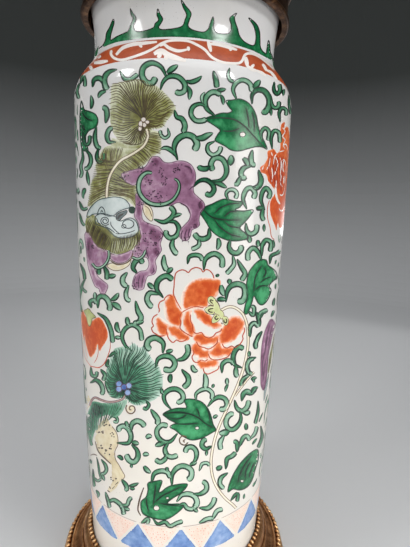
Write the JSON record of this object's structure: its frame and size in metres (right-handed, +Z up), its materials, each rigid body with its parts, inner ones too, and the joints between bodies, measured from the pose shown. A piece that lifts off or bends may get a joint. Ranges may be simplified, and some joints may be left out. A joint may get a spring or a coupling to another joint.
{
  "type": "rouleau vase",
  "caption": "Tall cylindrical porcelain vase with a waisted neck and enamelled decoration, bolted to a beaded bronze socle, with a lift-off bronze collar round its mouth.",
  "frame": {"origin": "centre of the underside, on the surface that the vase stands on", "axes": "+Z up along the vase's axis; -Y faces the picture's camera, and +X is to its right"},
  "size_m": [0.1914, 0.1914, 0.456],
  "materials": {
    "porcelain": "clear glossy glaze over white porcelain, with overglaze enamels",
    "bronze": "patinated gilt bronze, satin",
    "bead_bronze": "gilt bronze rubbed bright on the beads",
    "dark_bronze": "dark brown patinated bronze, satin",
    "brass": "turned brass, satin",
    "steel": "plain steel fastener",
    "iron": "blackened iron bar",
    "felt": "pressed wool felt",
    "cork": "pressed cork sheet",
    "leather": "plain hide"
  },
  "bodies": {
    "vase": {"felt_pad": "felt", "plinth_ring": "bronze", "outer_bead_row": "bead_bronze", "moulded_ring": "bronze", "inner_bead_row": "bead_bronze", "seat_plate": "brass", "cork_ring": "cork", "vase_body": "porcelain", "leather_washer": "leather", "brass_washer": "brass", "base_bolt": "steel", "clamp_bar": "iron", "plain_washer": "steel", "base_nut": "steel"},
    "collar": {"collar": "dark_bronze", "collar_liner": "brass", "collar_cushion": "leather", "liner_screws": "brass"}
  },
  "joints": [
    {"name": "collar_lift", "type": "slide", "parent": "vase", "child": "collar", "axis": [0, 0, 1], "range_m": [0, 0.06]}
  ]
}
